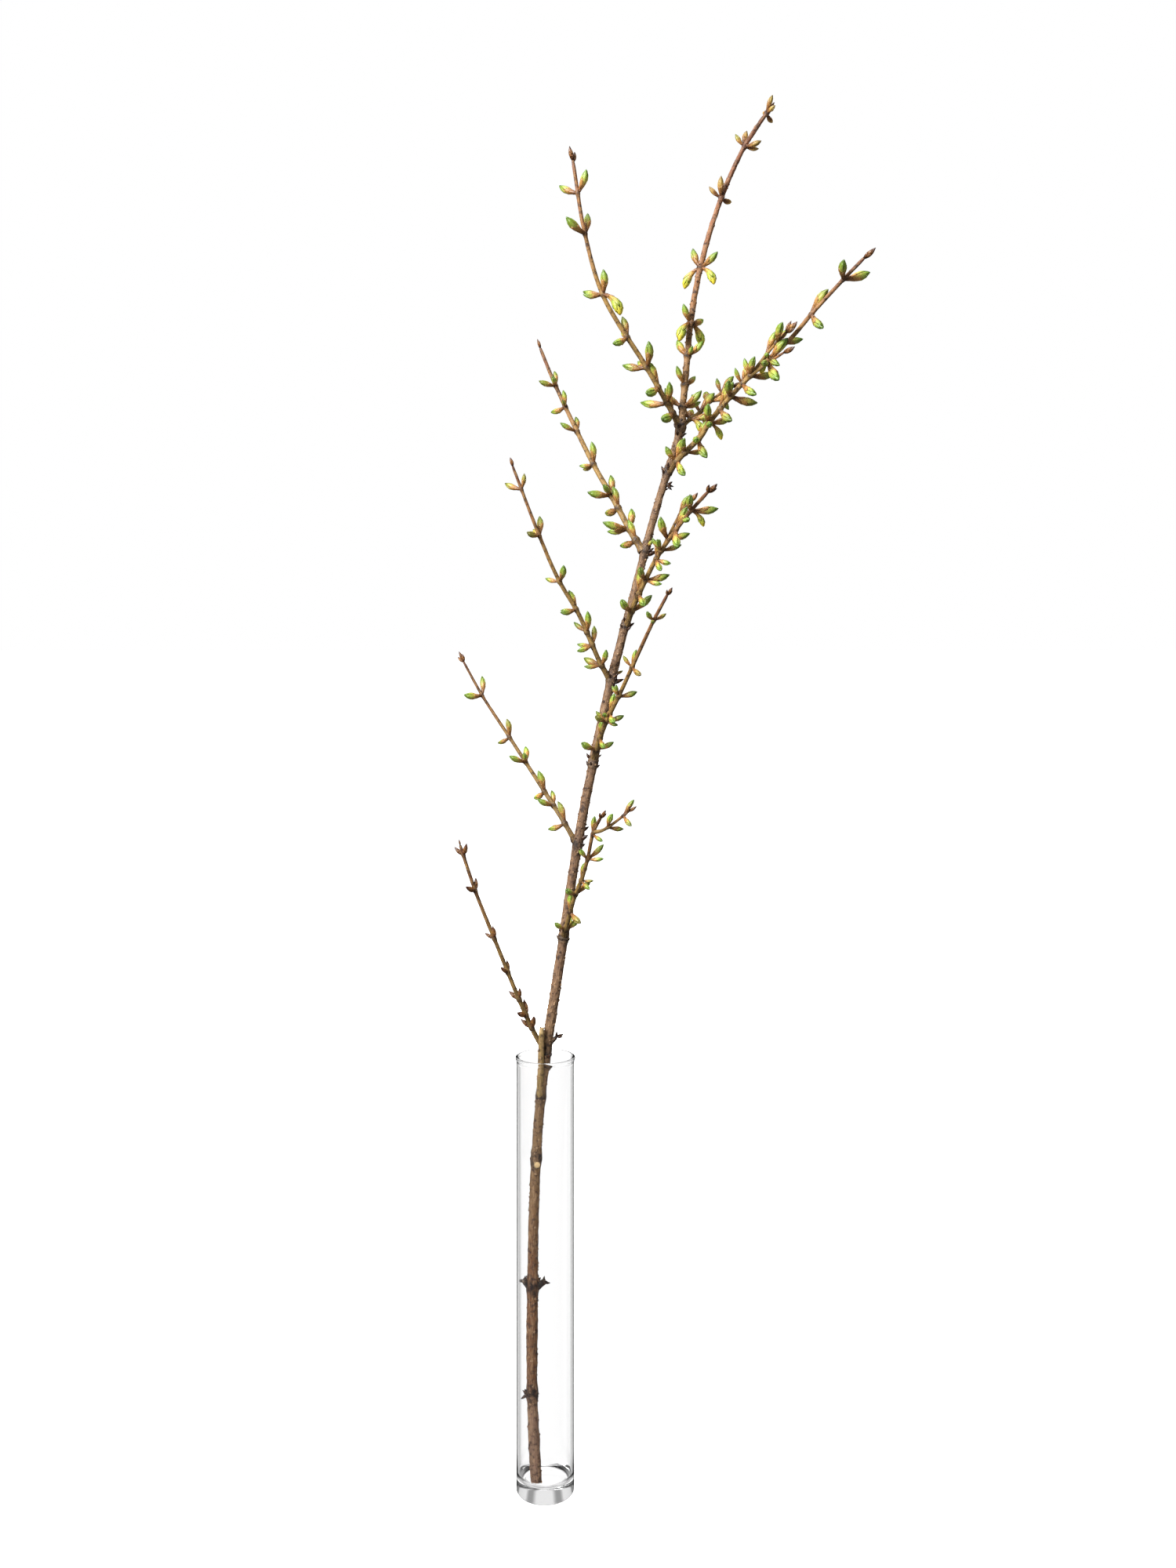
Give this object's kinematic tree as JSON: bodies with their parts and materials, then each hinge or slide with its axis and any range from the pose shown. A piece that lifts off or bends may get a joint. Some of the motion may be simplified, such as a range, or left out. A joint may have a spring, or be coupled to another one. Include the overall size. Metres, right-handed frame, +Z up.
{
  "type": "forsythia branch in a glass vase",
  "caption": "Cut forsythia branch in green bud with opposite side twigs, leaning in a tall slim clear glass cylinder vase.",
  "frame": {"origin": "centre of the vase's flat foot, on the surface it stands on", "axes": "+Z up along the vase's axis, -Y towards the viewer of the front, and the top of the branch leans towards +X"},
  "size_m": [0.2777, 0.1476, 0.9794],
  "materials": {
    "glass": "clear polished",
    "stem_bark": "dull warty bark",
    "twig_bark": "smooth dull young bark",
    "bud_scales": "waxy scales"
  },
  "bodies": {
    "root": {"vase": "glass", "main_stem": "stem_bark", "left_twig_1": "twig_bark", "left_twig_2": "twig_bark", "left_twig_3": "twig_bark", "left_twig_4": "twig_bark", "left_twig_5": "twig_bark", "right_twig_1": "twig_bark", "right_twig_2": "twig_bark", "right_twig_3": "twig_bark", "right_twig_4": "twig_bark", "right_twig_5": "twig_bark"}
  },
  "joints": []
}
